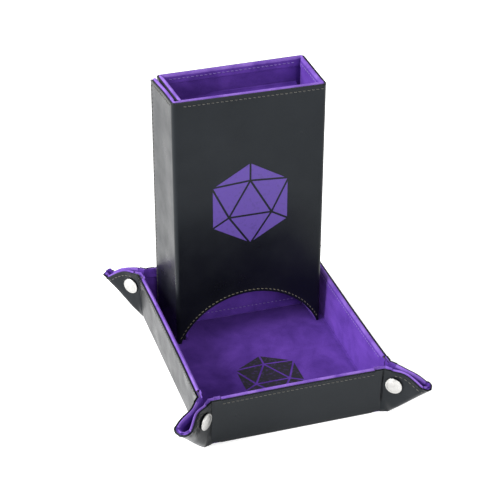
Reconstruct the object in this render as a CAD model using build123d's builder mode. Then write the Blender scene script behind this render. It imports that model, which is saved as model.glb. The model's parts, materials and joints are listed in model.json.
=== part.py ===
"""Folding dice tower that stands in a snap-up dice tray.

Every wall is a laminate: leather outside, a stiff board in the middle, a velvet lining inside.
The tower is one wrap of five panels: outer flap, front (the door), right side, back and inner flap.
The two flaps lie over each other on the left side and are held by a hook strip and a loop strip.
Three sloped boards inside turn the dice, and the lowest one sends them out through the arch.
The tray is one flat sheet: its four walls fold up, and each corner is pinched into two leaves
that a snap holds together.

Frame: millimetres, +Z up, origin at the centre of the tray's underside, the arch faces -Y.
"""

from build123d import *
import os
from math import acos, atan2, cos, degrees, hypot, radians, sin, sqrt

# ---------------------------------------------------------------- driving dimensions
SKIN = 0.9              # leather
BOARD = 1.8             # stiffener in a wall or panel
LINING = 1.3            # velvet on its backing
WALL_T = SKIN + BOARD + LINING
EDGE = 1.3              # how far the velvet wraps round the edge of a board
GAP = 0.3               # running clearance between pieces that move apart

TRAY_W = 134.0          # base of the tray, along X
TRAY_L = 173.0          # base of the tray, along Y
TRAY_H = 38.0           # height of its walls
FLOOR_BOARD = 1.8
FLOOR_LINING = 1.2
FLOOR_Z = SKIN + FLOOR_BOARD + FLOOR_LINING
SPLAY = 4.0             # degrees that a raised wall leans outwards
WALL_BOTTOM = 0.7       # from the base crease up to a wall's lower edge
BASE_CORNER_R = 3.0     # rounded corners of the base
FLOOR_CORNER_R = 2.0    # rounded corners of the floor's board and velvet

LEAF_T = 3.0            # a corner leaf is leather and velvet, with no board
CORNER_INSET = 5.2      # from the base corner to the crease where a leaf starts
CREASE_GAP = 1.8        # a leaf stops this far short of the diagonal crease
LEAF_START = 0.4        # a wall and its leaf each stop this far short of their crease
LEAF_BOTTOM = 0.8       # from the base crease up to a leaf's lower edge
TIP_R = 27.0            # rounded corner of the flat sheet
SNAP_U, SNAP_V = 7.5, 26.0    # snap centre, along the leaf and up it
CAP_R, CAP_H = 6.0, 1.7
CAP_DOME, CAP_DOME_IN = 1.1, 3.0   # height and width of the cap's sloping part
POST_R, POST_CLEAR = 1.4, 0.1
SOCKET_R, SOCKET_BORE_R, SOCKET_H = 4.4, 2.7, 1.4
STUD_FLANGE_R, STUD_FLANGE_H, STUD_R, STUD_H = 4.0, 0.3, 2.1, 1.4
SNAP_BREAK = 0.25       # broken edge of the stud and the socket

TOWER_W = 111.8         # across the front
TOWER_D = 51.8          # front to back
TOWER_H = 195.5
TOWER_LEFT = -52.8      # X of the tower's left face in the tray
TOWER_FRONT = 30.2      # Y of its front face
TOWER_Z = FLOOR_Z + GAP
ARCH_FOOT = 2.5         # width left of the front panel beside the arch, at the floor
ARCH_RISE = 35.5
STRIP_T = 0.7           # hook strip or loop strip
STRIP_W, STRIP_LEN = 30.0, 160.0
STRIP_BOTTOM = 24.0
STRIP_R, STRIP_CLEAR = 3.0, 0.05
FLAP_SHORT = 4.0        # the outer flap stops this far short of the back face
FLAP_CORNER_R = 4.0

BAFFLE_T = 3.4          # covered board
BAFFLE_CORE = 1.6
BAFFLE_REACH, BAFFLE_DROP = 19.0, 19.0
UPPER_BAFFLE_Z = 178.5  # height of its hinge on the back panel
UPPER_BAFFLE_OFF = 6.5  # open slot at its left end
MIDDLE_BAFFLE_Z = 122.0  # height of its hinge on the front panel
DOOR_SWING = 4.2        # room at the middle baffle's left end, for the swing of the door
RAMP_Z = 34.0           # height of the exit ramp's hinge on the back panel
RAMP_TOE_Y = 55.0       # Y of the ramp's front edge

EMBLEM_R = 33.0         # circle through the corners of the printed twenty-sided die
EMBLEM_T = 0.12
EMBLEM_GAP = 1.5        # bare line between two printed faces
EMBLEM_INNER = 0.56     # size of the middle triangle against the outer hexagon
EMBLEM_Z = 114.5
FLOOR_EMBLEM_Y = -27.0
FLOOR_EMBLEM_R = 26.0

# ---------------------------------------------------------------- derived places
TOWER_RIGHT = TOWER_LEFT + TOWER_W
TOWER_BACK = TOWER_FRONT + TOWER_D
TOWER_TOP = TOWER_Z + TOWER_H
INNER_FLAP_X = TOWER_LEFT + WALL_T + 2 * STRIP_T   # outer face of the inner flap
ROOM_LEFT = INNER_FLAP_X + WALL_T                  # inside faces of the tower
ROOM_RIGHT = TOWER_RIGHT - WALL_T
ROOM_FRONT = TOWER_FRONT + WALL_T
ROOM_BACK = TOWER_BACK - WALL_T
FOLD = SKIN / 2                                    # a crease turns in the middle of the leather

UP = Vector(0, 0, 1)
os.makedirs("parts", exist_ok=True)


def leaf_angle():
    """Angle in degrees between a wall and its leaf when both leaves lie along the diagonal."""
    lean = radians(SPLAY)
    low, high = 0.0, radians(60)
    for _ in range(60):
        middle = (low + high) / 2
        if cos(middle) > sin(lean) + sin(middle) * cos(lean):
            low = middle
        else:
            high = middle
    return degrees(low)


LEAF_ANGLE = leaf_angle()


def write(part, name):
    """Labels one finished sub-part and writes it as its own STEP file."""
    part.label = name
    export_step(part, f"parts/{name}.step")


def plate(plane, width, bottom, top, depth, thickness, end_radius=0.0):
    """A flat plate on a plane whose Z is its outward normal, from depth inwards by thickness.

    end_radius rounds the two corners at the plate's -X end.
    """
    with BuildPart() as made:
        with BuildSketch(plane.offset(-depth)) as outline:
            with Locations((0, (bottom + top) / 2)):
                Rectangle(width, top - bottom)
            if end_radius:
                fillet(outline.vertices().group_by(Axis.X)[0], end_radius)
        extrude(amount=-thickness)
    return made.part


def laminate(name, plane, width, bottom, top, end_radius=0.0):
    """Skin, board and lining of one straight panel, the lining wrapped round the board's edges."""
    write(plate(plane, width, bottom, top, 0, SKIN, end_radius), f"{name}_skin")
    board_radius = max(end_radius - EDGE, 0.0)
    board = plate(plane, width - 2 * EDGE, bottom + EDGE, top - EDGE, SKIN, BOARD, board_radius)
    write(board, f"{name}_board")
    with BuildPart() as lining:
        add(plate(plane, width, bottom, top, SKIN, BOARD + LINING, end_radius))
        add(board, mode=Mode.SUBTRACT)
    write(lining.part, f"{name}_lining")


# ================================================================ the tray
def tray_base():
    """The flat base: leather under everything, then board, then velvet between the walls."""
    room_w, room_l = TRAY_W - 2 * (WALL_T + GAP), TRAY_L - 2 * (WALL_T + GAP)
    with BuildPart() as skin:
        with BuildSketch():
            RectangleRounded(TRAY_W - 2 * FOLD, TRAY_L - 2 * FOLD, BASE_CORNER_R)
        extrude(amount=SKIN)
    write(skin.part, "tray_base_skin")
    with BuildPart() as board:
        with BuildSketch(Plane.XY.offset(SKIN)):
            RectangleRounded(room_w, room_l, FLOOR_CORNER_R)
        extrude(amount=FLOOR_BOARD)
    write(board.part, "tray_base_board")
    with BuildPart() as lining:
        with BuildSketch(Plane.XY.offset(SKIN + FLOOR_BOARD)):
            RectangleRounded(room_w, room_l, FLOOR_CORNER_R)
        extrude(amount=FLOOR_LINING)
    write(lining.part, "tray_base_lining")


def wall_plane(outward, distance):
    """Plane on a raised wall's crease: X along the wall, Y up it, Z out of its leather face."""
    lean = radians(SPLAY)
    normal = outward * cos(lean) - UP * sin(lean)
    along = UP.cross(outward)
    return Plane(origin=outward * (distance - FOLD) + UP * FOLD, x_dir=along, z_dir=normal)


def tray_wall(name, outward, distance, base_length):
    """One wall of the tray, from its crease up; its ends stop where the corner leaves start."""
    plane = wall_plane(outward, distance).offset(FOLD)
    length = base_length - 2 * (CORNER_INSET + LEAF_START)
    laminate(name, plane, length, WALL_BOTTOM, TRAY_H - FOLD)


FRONT_WALL = wall_plane(Vector(0, -1, 0), TRAY_L / 2)
CORNER = Vector(TRAY_W / 2, -TRAY_L / 2, 0)


def leaf_plane():
    """Plane of the front wall's leaf at the front right corner, on the crease between them."""
    turn = radians(LEAF_ANGLE)
    along, normal = FRONT_WALL.x_dir, FRONT_WALL.z_dir
    crease = FRONT_WALL.origin + along * (TRAY_W / 2 - CORNER_INSET)
    return Plane(
        origin=crease,
        x_dir=along * cos(turn) + normal * sin(turn),
        z_dir=normal * cos(turn) - along * sin(turn),
    )


LEAF = leaf_plane()


def corner_leaf():
    """One soft leaf: straight top, rounded tip, and a lower edge on the diagonal crease."""
    top = TRAY_H - FOLD
    sheet_edge = CORNER_INSET + top
    centre = (sheet_edge - TIP_R, top - TIP_R)
    first = acos(-CREASE_GAP / (TIP_R * sqrt(2))) - radians(45)
    middle = (first + radians(90)) / 2
    tip = (centre[0] + TIP_R * cos(first), centre[1] + TIP_R * sin(first))
    bulge = (centre[0] + TIP_R * cos(middle), centre[1] + TIP_R * sin(middle))
    toe = CORNER_INSET + LEAF_BOTTOM - CREASE_GAP
    with BuildPart() as leaf:
        with BuildSketch(LEAF.offset(FOLD)):
            with BuildLine():
                Polyline(
                    (centre[0], top), (LEAF_START, top), (LEAF_START, LEAF_BOTTOM), (toe, LEAF_BOTTOM), tip
                )
                ThreePointArc(tip, bulge, (centre[0], top))
            make_face()
            with Locations((SNAP_U, SNAP_V)):
                Circle(POST_R + POST_CLEAR, mode=Mode.SUBTRACT)
        extrude(amount=-LEAF_T)
    return leaf.part


LEAF_OUT = Axis(LEAF.origin, LEAF.z_dir)


def disc(depth, radius, height, bore=0.0):
    """A round disc on the snap's axis; its base lies at depth, and a negative height goes inwards."""
    with BuildPart() as made:
        with BuildSketch(LEAF.offset(FOLD - depth)):
            with Locations((SNAP_U, SNAP_V)):
                Circle(radius)
                if bore:
                    Circle(bore, mode=Mode.SUBTRACT)
        extrude(amount=height)
    return made.part


def snap_cap():
    """The domed cap on the leather side, with its post through the leaf."""
    with BuildPart() as cap:
        add(disc(0, CAP_R, CAP_H))
        chamfer(cap.faces().sort_by(LEAF_OUT)[-1].edges(), CAP_DOME, CAP_DOME_IN)
        add(disc(0, POST_R, -LEAF_T))
    return cap.part


def snap_socket():
    """The ring on the velvet side of one leaf, which the stud clicks into."""
    with BuildPart() as socket:
        add(disc(LEAF_T, SOCKET_R, -SOCKET_H, bore=SOCKET_BORE_R))
        chamfer(socket.faces().sort_by(LEAF_OUT)[0].edges(), SNAP_BREAK)
    return socket.part


def snap_stud():
    """The flanged stud on the velvet side of the other leaf."""
    with BuildPart() as stud:
        add(disc(LEAF_T, STUD_FLANGE_R, -STUD_FLANGE_H))
        add(disc(LEAF_T + STUD_FLANGE_H, STUD_R, -STUD_H))
        chamfer(stud.faces().sort_by(LEAF_OUT)[0].edges(), SNAP_BREAK)
    return stud.part


def tray_corners():
    """Two leaves and the two halves of a snap at each corner, mirrored from the front right one."""
    diagonal = Plane(origin=CORNER, x_dir=(1, -1, 0), z_dir=(1, 1, 0))
    leaf = corner_leaf()
    socket_half = Compound(children=[snap_cap(), snap_socket()])
    stud_half = Compound(children=[snap_cap(), snap_stud()])
    pieces = {
        "end_leaf": leaf,
        "side_leaf": mirror(leaf, about=diagonal),
        "socket_on_end": socket_half,
        "socket_on_side": mirror(socket_half, about=diagonal),
        "stud_on_end": stud_half,
        "stud_on_side": mirror(stud_half, about=diagonal),
    }
    mirrors = {"fr": [], "fl": [Plane.YZ], "br": [Plane.XZ], "bl": [Plane.YZ, Plane.XZ]}
    for corner, planes in mirrors.items():
        placed = {}
        for kind, piece in pieces.items():
            for plane in planes:
                piece = mirror(piece, about=plane)
            placed[kind] = piece
        socketed, studded = ("end", "side") if corner[0] == "f" else ("side", "end")
        write(placed["end_leaf"], f"corner_{corner}_end_leaf")
        write(placed["side_leaf"], f"corner_{corner}_side_leaf")
        write(placed[f"socket_on_{socketed}"], f"snap_{corner}_socket")
        write(placed[f"stud_on_{studded}"], f"snap_{corner}_stud")


# ================================================================ the tower
def upright(x, y, outward):
    """Plane of a tower panel's leather face, at floor height: X along it, Y up, Z outwards."""
    normal = Vector(*outward, 0)
    return Plane(origin=(x, y, 0), x_dir=UP.cross(normal), z_dir=normal)


def arch_cut(plane, foot, rise, depth, thickness):
    """The solid that cuts the arch: a circle segment that springs from the panel's feet."""
    half = TOWER_W / 2 - foot
    radius = (half**2 + rise**2) / (2 * rise)
    with BuildPart() as cut:
        with BuildSketch(plane.offset(-depth)):
            with Locations((0, TOWER_Z + rise - radius)):
                Circle(radius)
        extrude(amount=-thickness)
    return cut.part


def door():
    """The front panel, with the arch that the dice leave by."""
    plane = upright((TOWER_LEFT + TOWER_RIGHT) / 2, TOWER_FRONT, (0, -1))
    edge_cut = arch_cut(plane, ARCH_FOOT, ARCH_RISE, 0, WALL_T)
    board_cut = arch_cut(plane, ARCH_FOOT - EDGE, ARCH_RISE + EDGE, SKIN, BOARD)
    with BuildPart() as skin:
        add(plate(plane, TOWER_W, TOWER_Z, TOWER_TOP, 0, SKIN))
        add(edge_cut, mode=Mode.SUBTRACT)
    write(skin.part, "front_skin")
    with BuildPart() as board:
        add(plate(plane, TOWER_W - 2 * EDGE, TOWER_Z + EDGE, TOWER_TOP - EDGE, SKIN, BOARD))
        add(board_cut, mode=Mode.SUBTRACT)
    write(board.part, "front_board")
    with BuildPart() as lining:
        add(plate(plane, TOWER_W, TOWER_Z, TOWER_TOP, SKIN, BOARD + LINING))
        add(board.part, mode=Mode.SUBTRACT)
        add(edge_cut, mode=Mode.SUBTRACT)
    write(lining.part, "front_lining")


def fixed_panels():
    """Back, right side and inner flap, which stay together as the body of the tower."""
    back_middle = (INNER_FLAP_X + TOWER_RIGHT) / 2
    back_width = TOWER_RIGHT - INNER_FLAP_X
    side_middle = (ROOM_FRONT + GAP + ROOM_BACK) / 2
    side_width = ROOM_BACK - ROOM_FRONT - GAP
    laminate("back", upright(back_middle, TOWER_BACK, (0, 1)), back_width, TOWER_Z, TOWER_TOP)
    laminate("right", upright(TOWER_RIGHT, side_middle, (1, 0)), side_width, TOWER_Z, TOWER_TOP)
    laminate("inner_flap", upright(INNER_FLAP_X, side_middle, (-1, 0)), side_width, TOWER_Z, TOWER_TOP)


def outer_flap():
    """The flap hinged on the front panel, its free upper and lower corners rounded."""
    first, last = ROOM_FRONT + GAP, TOWER_BACK - FLAP_SHORT
    plane = upright(TOWER_LEFT, (first + last) / 2, (-1, 0))
    laminate("outer_flap", plane, last - first, TOWER_Z, TOWER_TOP, FLAP_CORNER_R)


def fastener_strips():
    """Hook strip on the outer flap's velvet face and loop strip on the inner flap's leather."""
    middle = (ROOM_FRONT + ROOM_BACK) / 2
    top = STRIP_BOTTOM + STRIP_LEN
    hook = upright(TOWER_LEFT + WALL_T, middle, (-1, 0))
    loop = upright(INNER_FLAP_X - STRIP_T, middle, (-1, 0))
    write(plate(hook, STRIP_W, STRIP_BOTTOM, top, 0, STRIP_T - STRIP_CLEAR, STRIP_R), "hook_strip")
    write(plate(loop, STRIP_W, STRIP_BOTTOM, top, 0, STRIP_T, STRIP_R), "loop_strip")


def covered_board(name, left, right, hinge, toe):
    """A sloped board in a velvet cover; hinge and toe are the (Y, Z) centres of its round edges."""
    run, fall = toe[0] - hinge[0], toe[1] - hinge[1]
    slope = degrees(atan2(fall, run))
    middle = ((hinge[0] + toe[0]) / 2, (hinge[1] + toe[1]) / 2)
    length = hypot(run, fall)
    with BuildPart() as core:
        with BuildSketch(Plane.YZ.offset(left + EDGE)):
            with Locations(middle):
                Rectangle(length, BAFFLE_CORE, rotation=slope)
        extrude(amount=right - left - 2 * EDGE)
    write(core.part, f"{name}_board")
    with BuildPart() as cover:
        with BuildSketch(Plane.YZ.offset(left)):
            with Locations(middle):
                SlotCenterToCenter(length, BAFFLE_T, rotation=slope)
        extrude(amount=right - left)
        add(core.part, mode=Mode.SUBTRACT)
    write(cover.part, f"{name}_cover")


def baffles():
    """Upper baffle on the back panel, middle one on the front panel, exit ramp on the back."""
    stand_off = BAFFLE_T / 2 + GAP
    left, right = ROOM_LEFT + GAP, ROOM_RIGHT - GAP
    back_y, front_y = ROOM_BACK - stand_off, ROOM_FRONT + stand_off
    covered_board(
        "upper_baffle",
        left + UPPER_BAFFLE_OFF,
        right,
        hinge=(back_y, UPPER_BAFFLE_Z),
        toe=(back_y - BAFFLE_REACH, UPPER_BAFFLE_Z - BAFFLE_DROP),
    )
    covered_board(
        "middle_baffle",
        left + DOOR_SWING,
        right,
        hinge=(front_y, MIDDLE_BAFFLE_Z),
        toe=(front_y + BAFFLE_REACH, MIDDLE_BAFFLE_Z - BAFFLE_DROP),
    )
    covered_board(
        "exit_ramp",
        left,
        right,
        hinge=(back_y, RAMP_Z),
        toe=(RAMP_TOE_Y + BAFFLE_T / 2, TOWER_Z + BAFFLE_T / 2),
    )


# ================================================================ the printed emblems
def die_faces(radius):
    """Corner points of the ten faces seen when a twenty-sided die is looked at face on."""
    def point(size, angle):
        return (size * cos(radians(angle)), size * sin(radians(angle)))

    outer = [point(radius, 90 + 60 * i) for i in range(6)]
    inner = [point(radius * EMBLEM_INNER, 90 + 120 * i) for i in range(3)]
    faces = [inner]
    for i in range(3):
        here, there = inner[i], inner[(i + 1) % 3]
        between = outer[2 * i + 1]
        faces.append([here, between, there])
        faces.append([here, outer[2 * i], between])
        faces.append([there, between, outer[(2 * i + 2) % 6]])
    return faces


def emblem(name, plane, radius):
    """The printed die: each face is its own thin solid, with a bare line between faces."""
    with BuildPart() as printed:
        with BuildSketch(plane):
            for corners in die_faces(radius):
                with BuildSketch(mode=Mode.PRIVATE) as face:
                    with BuildLine():
                        Polyline(*corners, close=True)
                    make_face()
                    offset(amount=-EMBLEM_GAP / 2, kind=Kind.INTERSECTION)
                add(face.sketch)
        extrude(amount=EMBLEM_T)
    write(printed.part, name)


def emblems():
    """Purple print on the front panel, black print on the tray's floor."""
    front = Plane(
        origin=((TOWER_LEFT + TOWER_RIGHT) / 2, TOWER_FRONT, EMBLEM_Z), x_dir=(1, 0, 0), z_dir=(0, -1, 0)
    )
    floor = Plane(origin=(0, FLOOR_EMBLEM_Y, FLOOR_Z), x_dir=(1, 0, 0), z_dir=(0, 0, 1))
    emblem("front_emblem", front, EMBLEM_R)
    emblem("floor_emblem", floor, FLOOR_EMBLEM_R)


tray_base()
for wall, direction, reach, base in (
    ("wall_front", Vector(0, -1, 0), TRAY_L / 2, TRAY_W),
    ("wall_right", Vector(1, 0, 0), TRAY_W / 2, TRAY_L),
    ("wall_back", Vector(0, 1, 0), TRAY_L / 2, TRAY_W),
    ("wall_left", Vector(-1, 0, 0), TRAY_W / 2, TRAY_L),
):
    tray_wall(wall, direction, reach, base)
tray_corners()
door()
fixed_panels()
outer_flap()
fastener_strips()
baffles()
emblems()
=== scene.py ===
"""Looks of the folding dice tower in its snap-up tray: leather, velvet, thread, snaps and print.

Every wall and panel is drawn as one closed laminate: leather outside, a velvet roll over the rim
in a paler velvet that is a painted highlight, and velvet inside. Laminates that cross a crease bend over it.
Lengths are in metres.
"""

import json
from dataclasses import dataclass
from math import asin, ceil, cos, exp, hypot, pi, radians, sin, sqrt

import bmesh
import bpy
from mathutils import Matrix, Vector, noise


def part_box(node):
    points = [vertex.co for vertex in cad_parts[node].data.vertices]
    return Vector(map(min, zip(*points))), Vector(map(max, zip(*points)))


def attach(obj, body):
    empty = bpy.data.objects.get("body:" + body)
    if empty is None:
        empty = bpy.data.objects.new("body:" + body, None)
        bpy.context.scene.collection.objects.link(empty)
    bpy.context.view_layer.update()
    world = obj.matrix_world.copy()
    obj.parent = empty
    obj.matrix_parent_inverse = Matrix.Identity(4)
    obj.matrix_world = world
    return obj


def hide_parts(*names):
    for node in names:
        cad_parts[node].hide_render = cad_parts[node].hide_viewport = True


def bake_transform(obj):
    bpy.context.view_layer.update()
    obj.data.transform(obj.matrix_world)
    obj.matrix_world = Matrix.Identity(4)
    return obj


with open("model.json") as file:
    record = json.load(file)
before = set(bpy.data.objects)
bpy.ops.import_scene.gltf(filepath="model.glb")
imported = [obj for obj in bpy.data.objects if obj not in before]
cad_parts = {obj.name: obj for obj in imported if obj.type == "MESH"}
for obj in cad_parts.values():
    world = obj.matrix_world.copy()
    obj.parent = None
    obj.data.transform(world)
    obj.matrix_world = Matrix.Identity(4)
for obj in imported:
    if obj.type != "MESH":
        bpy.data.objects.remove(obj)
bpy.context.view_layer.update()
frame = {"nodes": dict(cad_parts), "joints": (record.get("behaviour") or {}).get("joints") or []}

# ---------------------------------------------------------------- driving dimensions
MM = 0.001
UP = Vector((0, 0, 1))
SKIN = 0.9 * MM             # leather, as in the frame
WALL_T = 4.0 * MM           # laminate of a wall or panel
LEAF_T = 3.0 * MM           # laminate of a corner leaf
FOLD = SKIN / 2             # a crease turns in the middle of the leather
ROLL = 0.95 * MM            # how far the velvet roll stands above a rim
HEM = 6.0 * MM              # velvet turned in below a rim
STITCH_IN = 3.0 * MM        # row of stitches below a rim
STITCH_PITCH = 3.2 * MM
STITCH_LENGTH = 2.3 * MM
THREAD_R = 0.24 * MM
# (place along the stitch, width, depth in the hole)
STITCH_SHAPE = ((0.0, 0.35, 1.0), (0.12, 0.8, 0.45), (0.5, 1.0, 0.1), (0.88, 0.8, 0.45), (1.0, 0.35, 1.0))
ARCH_FOOT = 2.5 * MM
ARCH_RISE = 35.5 * MM
CORNER_R = 3.0 * MM         # outer radius of a tower corner
CORNER_T = 2.9 * MM         # the laminate is thinner where its board ends
THIN_RUN = 4.5 * MM         # it thins over this length beside a corner
FLAP_SEAM = CORNER_R + THIN_RUN   # the front's mesh meets the outer flap's here
BASE_R = 1.2 * MM           # rounded lower edge of the tray
WALL_WAVE = 0.16 * MM       # unevenness of the tray's walls
WALL_BOW = 0.65 * MM        # their rims sag inwards between the corners
WEB = 11.0 * MM            # velvet that fills the corner of the floor when the tray is flat
LIP = 5.0 * MM              # leather and velvet that run on under the base and the floor
FLAP_CORNER_R = 4.0 * MM
FRONT_UNEVEN = 0.06 * MM    # waves of the front and of the flap that continues it
FLAP_FLARE = 0.9 * MM       # the outer flap's free edge stands off a little
SIDE_SKEW = 2.6 * MM        # the left side runs outwards to the back by this much
TWIST_BACK = 2.0 * MM       # at the top the back panel is turned: right end back, left end forward
TWIST_SIDE = 1.3 * MM
BOARD_T = 3.2 * MM          # laminate of a sloped board
TOE_ROLL = 0.4 * MM         # the far edge of a board is rolled up a little
RIM_PINCH = 1.15 * MM       # the inner flap's rim lies against the outer flap

JOINTS = {joint["name"]: joint for joint in frame["joints"]}


# ================================================================ small mesh tools
def smooth(x):
    """0 below 0, 1 above 1, and a smooth step between."""
    x = min(max(x, 0.0), 1.0)
    return x * x * (3 - 2 * x)


def ripple(point, size, height):
    """Soft unevenness of a hand-made sheet: at most about height, with waves about size long."""
    return height * noise.noise(point / size)


def finish_mesh(name, bm, materials, sharp=38):
    """Turns a bmesh into a shaded object with its materials."""
    bmesh.ops.remove_doubles(bm, verts=bm.verts, dist=1e-7)
    bmesh.ops.recalc_face_normals(bm, faces=bm.faces)
    mesh = bpy.data.meshes.new(name)
    bm.to_mesh(mesh)
    bm.free()
    for material in materials:
        mesh.materials.append(material)
    mesh.polygons.foreach_set("use_smooth", [True] * len(mesh.polygons))
    mesh.set_sharp_from_angle(angle=radians(sharp))
    piece = bpy.data.objects.new(name, mesh)
    bpy.context.scene.collection.objects.link(piece)
    return piece


def loft(name, columns, kinds, materials, closed=True, caps=True, sharp=38):
    """A mesh through columns of points. kinds[j] is the material of the stretch after point j."""
    bm = bmesh.new()
    rows = [[bm.verts.new(p) for p in column] for column in columns]
    count = len(rows[0])
    for here, there in zip(rows, rows[1:]):
        for j in range(count if closed else count - 1):
            k = (j + 1) % count
            face = bm.faces.new((here[j], there[j], there[k], here[k]))
            face.material_index = kinds[j]
    if caps:
        for row in (rows[0], rows[-1]):
            face = bm.faces.new(row)
            face.material_index = 1
    return finish_mesh(name, bm, materials, sharp)


def border(nx, ny):
    """Places round the edge of a grid, in order."""
    places = [(i, 0) for i in range(nx)] + [(nx, j) for j in range(ny)]
    return places + [(i, ny) for i in range(nx, 0, -1)] + [(0, j) for j in range(ny, 0, -1)]


def add_grid(bm, rows):
    """Adds the faces of a grid of vertices."""
    for here, there in zip(rows, rows[1:]):
        for j in range(len(here) - 1):
            bm.faces.new((here[j], there[j], there[j + 1], here[j + 1]))


def add_border(bm, tops, bottoms, places):
    """Joins the borders of two grids of vertices."""
    for (a, b), (c, d) in zip(places, places[1:] + places[:1]):
        bm.faces.new((tops[a][b], bottoms[a][b], bottoms[c][d], tops[c][d]))


def rings_about(bm, base, axis, profile, turns):
    """Adds rings of vertices about an axis from (radius, height) pairs in mm."""
    side = axis.orthogonal().normalized()
    other = axis.cross(side)
    rings = []
    for radius, height in profile:
        centre = base + axis * height * MM
        ring = []
        for i in range(turns):
            turn = 2 * pi * i / turns
            ring.append(bm.verts.new(centre + (side * cos(turn) + other * sin(turn)) * radius * MM))
        rings.append(ring)
    return rings


def bridge(bm, rings):
    """Joins each ring of vertices to the next."""
    for low, high in zip(rings, rings[1:]):
        count = len(low)
        for i in range(count):
            j = (i + 1) % count
            bm.faces.new((low[i], low[j], high[j], high[i]))


def lathe(bm, base, axis, profile, turns=40):
    """Adds a solid of revolution, closed by a disc at each end."""
    rings = rings_about(bm, base, axis, profile, turns)
    bridge(bm, rings)
    bm.faces.new(rings[0])
    bm.faces.new(rings[-1])


def lathe_ring(bm, base, axis, profile, turns=40):
    """Adds a ring of revolution with an open bore: the profile closes on itself."""
    rings = rings_about(bm, base, axis, profile, turns)
    bridge(bm, rings + rings[:1])


def thread_row(bm, path):
    """Adds stitches along a path of (point, outward normal): short slanted dashes half sunk in."""
    lengths = [0.0]
    for (a, _), (b, _) in zip(path, path[1:]):
        lengths.append(lengths[-1] + (b - a).length)

    def at(distance):
        for i in range(len(path) - 1):
            if distance <= lengths[i + 1] or i == len(path) - 2:
                span = lengths[i + 1] - lengths[i]
                t = (distance - lengths[i]) / span if span else 0.0
                return path[i][0].lerp(path[i + 1][0], t), path[i][1].lerp(path[i + 1][1], t)

    count = max(1, int(lengths[-1] / STITCH_PITCH))
    pitch = lengths[-1] / count
    for n in range(count):
        start = (n + 0.5) * pitch - STITCH_LENGTH / 2
        rings = []
        for t, width, sunk in STITCH_SHAPE:
            centre, normal = at(start + STITCH_LENGTH * t)
            done = start + STITCH_LENGTH * t
            ahead = at(done + 0.2 * MM)[0] - at(done - 0.2 * MM)[0]
            side = ahead.cross(normal).normalized()
            centre = centre + normal * THREAD_R * (0.75 - 1.3 * sunk) + side * (t - 0.5) * 0.32 * MM
            ring = []
            for i in range(6):
                turn = pi * i / 3
                reach = side * cos(turn) * 1.2 + normal * sin(turn)
                ring.append(bm.verts.new(centre + reach * THREAD_R * width))
            rings.append(ring)
        bridge(bm, rings)
        bm.faces.new(rings[0])
        bm.faces.new(rings[-1])


# ================================================================ materials
class Shader:
    """A node material under construction; add() makes a node and wires its inputs."""

    def __init__(self, name, **constants):
        self.material = bpy.data.materials.new(name)
        self.material.use_nodes = True
        self.tree = self.material.node_tree
        self.surface = self.tree.nodes["Principled BSDF"]
        for socket, value in constants.items():
            self.surface.inputs[socket.replace("_", " ")].default_value = value
        self.place = self.add("ShaderNodeTexCoord").outputs["Object"]

    def add(self, kind, wires=None, **settings):
        node = self.tree.nodes.new(kind)
        for key, value in settings.items():
            setattr(node, key, value)
        for socket, value in (wires or {}).items():
            if isinstance(value, bpy.types.NodeSocket):
                self.tree.links.new(value, node.inputs[socket])
            else:
                node.inputs[socket].default_value = value
        return node

    def noise(self, scale, detail=3.0, distortion=0.0, place=None):
        wires = {"Vector": place or self.place, "Scale": scale, "Detail": detail, "Distortion": distortion}
        return self.add("ShaderNodeTexNoise", wires).outputs["Fac"]

    def ramp(self, factor, *stops):
        node = self.add("ShaderNodeValToRGB", {"Fac": factor})
        ramp = node.color_ramp
        while len(ramp.elements) < len(stops):
            ramp.elements.new(0.5)
        for element, (place, colour) in zip(ramp.elements, stops):
            element.position = place
            element.color = (*colour, 1.0)
        return node.outputs["Color"]

    def mix(self, factor, a, b, blend="MIX"):
        node = self.add("ShaderNodeMix", data_type="RGBA", blend_type=blend)
        for socket, value in ((node.inputs[0], factor), (node.inputs[6], a), (node.inputs[7], b)):
            if isinstance(value, bpy.types.NodeSocket):
                self.tree.links.new(value, socket)
            elif isinstance(value, tuple):
                socket.default_value = (*value, 1.0)
            else:
                socket.default_value = value
        return node.outputs[2]

    def span(self, factor, low, high, source=(0.3, 0.7)):
        wires = {"Value": factor, "From Min": source[0], "From Max": source[1], "To Min": low, "To Max": high}
        return self.add("ShaderNodeMapRange", wires).outputs["Result"]

    def stretch(self, x, y, z):
        wires = {"Vector": self.place, "Scale": (x, y, z)}
        return self.add("ShaderNodeMapping", wires).outputs["Vector"]

    def bump(self, height, distance, strength=1.0, under=None):
        wires = {"Height": height, "Distance": distance, "Strength": strength}
        if under:
            wires["Normal"] = under
        return self.add("ShaderNodeBump", wires).outputs["Normal"]

    def finish(self, **sockets):
        for socket, value in sockets.items():
            self.tree.links.new(value, self.surface.inputs[socket.replace("_", " ")])
        return self.material


def leather():
    """Black leatherette: fine pebble grain, satin, a little paler where it is handled."""
    s = Shader(
        "black_leatherette",
        Coat_Weight=0.02,
        Coat_Roughness=0.2,
        IOR=1.29,
        Specular_Tint=(0.80, 0.90, 1.0, 1.0),
    )
    cells = s.add("ShaderNodeTexVoronoi", {"Vector": s.place, "Scale": 1150.0}, feature="SMOOTH_F1")
    fine = s.noise(2600.0, 2.0)
    grain = s.bump(cells.outputs["Distance"], 0.00012, 0.42)
    grain = s.bump(fine, 0.00004, 0.25, under=grain)
    grain = s.bump(s.noise(55.0, 3.0), 0.0007, 0.12, under=grain)
    colour = s.ramp(s.noise(26.0, 4.0), (0.3, (0.0020, 0.0024, 0.0030)), (0.72, (0.0048, 0.0054, 0.0064)))
    rough = s.span(s.noise(70.0, 4.0), 0.27, 0.39)
    return s.finish(Base_Color=colour, Roughness=rough, Normal=grain)


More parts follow.
